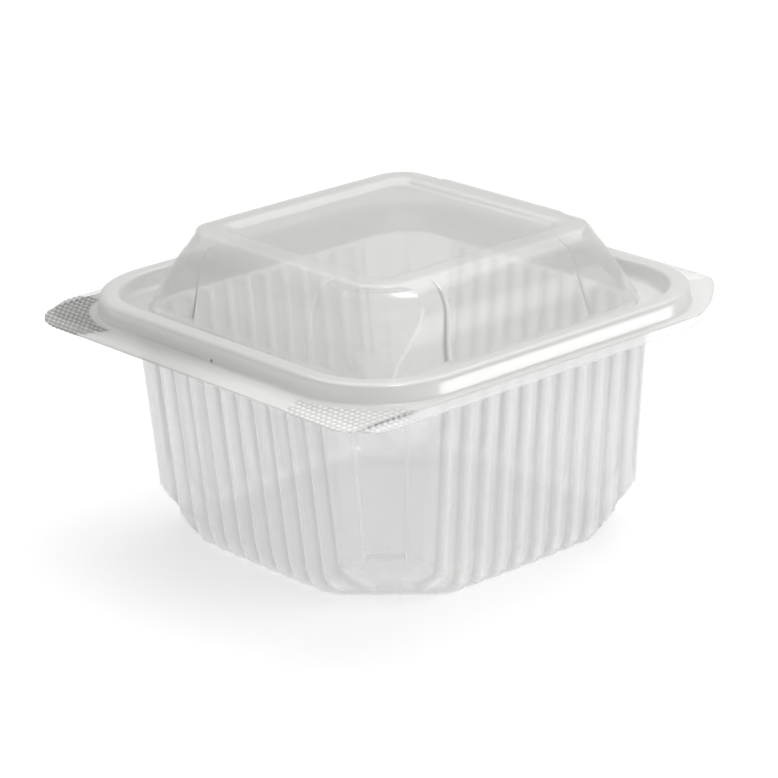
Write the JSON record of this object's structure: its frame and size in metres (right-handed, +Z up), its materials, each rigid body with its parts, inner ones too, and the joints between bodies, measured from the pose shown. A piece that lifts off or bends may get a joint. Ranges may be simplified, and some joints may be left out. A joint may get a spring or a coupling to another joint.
{
  "type": "takeaway meal container",
  "caption": "Square clear plastic takeaway container with a fluted tub and a domed lid hinged along its back, standing empty and closed.",
  "frame": {"origin": "centre of the bounding box on the table, under the closed container", "axes": "+Z up, -Y towards the side that opens, where the thumb tabs are, +Y towards the hinge, +X to the right of that front"},
  "size_m": [0.1416, 0.15, 0.0855],
  "materials": {
    "tub_plastic": "clear, thermoformed",
    "lid_plastic": "clear, thermoformed"
  },
  "bodies": {
    "tub": {"tub": "tub_plastic"},
    "lid": {"lid": "lid_plastic"}
  },
  "joints": [
    {"name": "lid_hinge", "type": "hinge", "parent": "tub", "child": "lid", "pos_m": [0, 0.0752, 0.06263], "axis": [-1, 0, 0], "range_deg": [0, 180]}
  ]
}
